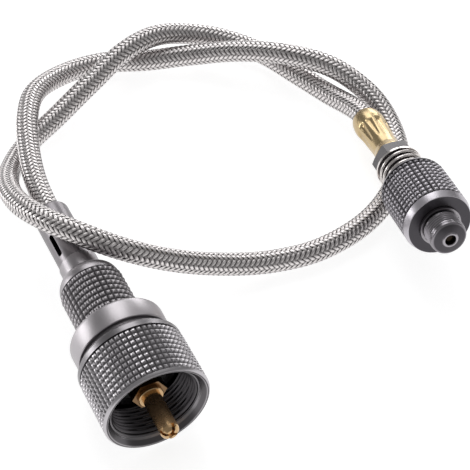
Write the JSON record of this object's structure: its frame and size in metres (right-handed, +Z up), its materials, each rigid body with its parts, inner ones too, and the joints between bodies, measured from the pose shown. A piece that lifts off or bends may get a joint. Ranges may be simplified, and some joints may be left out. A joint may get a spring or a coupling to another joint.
{
  "type": "braided gas hose adapter",
  "caption": "Braided gas hose with a knurled female coupling nut and brass probe at one end and a sprung collar round a threaded nipple at the other.",
  "frame": {"origin": "under the middle of the two end fittings, on the plane that the coupling nut lies on; the hose is left out of that middle", "axes": "+Z is up from the surface; +Y runs from the coupling nut's mouth back along its axis to the hose; +X runs towards the outlet fitting"},
  "size_m": [0.1351, 0.1587, 0.0322],
  "materials": {
    "anodised_grey": "satin",
    "anodised_dark": "satin",
    "brass": "satin",
    "spring_steel": "polished",
    "braid_steel": "woven",
    "black_rubber": "matt",
    "white_nylon": "matt"
  },
  "bodies": {
    "hose_assembly": {"stem_body": "anodised_grey", "nut_retainer": "anodised_grey", "nut_washer": "white_nylon", "seat_gasket": "black_rubber", "inlet_probe": "brass", "inlet_hose_tail": "anodised_dark", "inlet_ferrule": "brass", "tail_sleeve": "anodised_grey", "hose_liner": "black_rubber", "hose_braid": "braid_steel", "outlet_ferrule": "brass", "outlet_hose_tail": "anodised_dark", "hex_adapter": "anodised_dark", "swivel_oring": "black_rubber", "swivel_ring": "spring_steel", "spring_washer": "spring_steel", "collar_spring": "spring_steel"},
    "coupling": {"coupling_nut": "anodised_grey"},
    "nipple": {"outlet_nipple": "anodised_dark", "stop_ring": "anodised_dark", "valve_seat": "black_rubber", "valve_spring": "spring_steel", "valve_retainer": "brass"},
    "collar": {"outlet_collar": "anodised_dark"},
    "plunger": {"valve_plunger": "brass"}
  },
  "joints": [
    {"name": "coupling_turn", "type": "hinge", "parent": "hose_assembly", "child": "coupling", "pos_m": [-0.04788, -0.01797, 0.0158], "axis": [0, 1, 0], "continuous": true},
    {"name": "nipple_turn", "type": "hinge", "parent": "hose_assembly", "child": "nipple", "pos_m": [0.05247, -0.00353, 0.01991], "axis": [0.1325, 0.9673, -0.2164], "continuous": true},
    {"name": "collar_slide", "type": "slide", "parent": "nipple", "child": "collar", "axis": [0.1325, 0.9673, -0.2164], "range_m": [0, 0.003], "stiffness_N_per_m": 400, "springref_m": -0.004, "deforming": ["collar_spring"]},
    {"name": "plunger_slide", "type": "slide", "parent": "nipple", "child": "plunger", "axis": [0.1325, 0.9673, -0.2164], "range_m": [0, 0.0015], "stiffness_N_per_m": 300, "springref_m": -0.001, "deforming": ["valve_spring"]}
  ]
}
